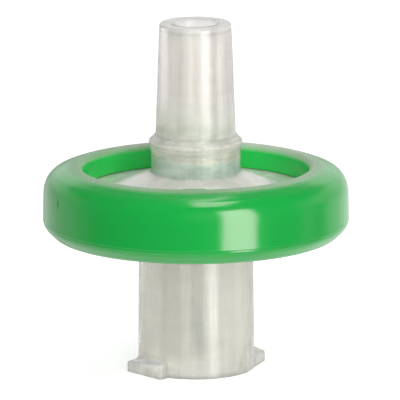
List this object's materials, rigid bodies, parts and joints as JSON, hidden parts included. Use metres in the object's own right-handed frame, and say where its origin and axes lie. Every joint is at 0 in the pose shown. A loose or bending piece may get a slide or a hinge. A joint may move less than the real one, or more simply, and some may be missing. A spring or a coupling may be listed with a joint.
{
  "type": "syringe filter",
  "caption": "Small round syringe filter: milky body with male slip outlet cone, female lock inlet with lugs, green overmoulded grip ring and enclosed membrane.",
  "frame": {"origin": "centre of the inlet's end face, on the filter's axis", "axes": "+Z along the axis from inlet to outlet; +X points between the foot and the end of one locking lug, and the two lugs are alike under a half turn about Z"},
  "size_m": [0.017, 0.017, 0.0195],
  "materials": {
    "natural_pp_outlet": "natural translucent polypropylene, milky, satin gloss",
    "natural_pp_inlet": "natural translucent polypropylene, milky, satin gloss",
    "membrane": "matt white porous film",
    "green_pp": "glossy bright green polypropylene"
  },
  "bodies": {
    "root": {"outlet_housing": "natural_pp_outlet", "inlet_housing": "natural_pp_inlet", "filter_membrane": "membrane", "sealing_ring": "green_pp"}
  },
  "joints": []
}
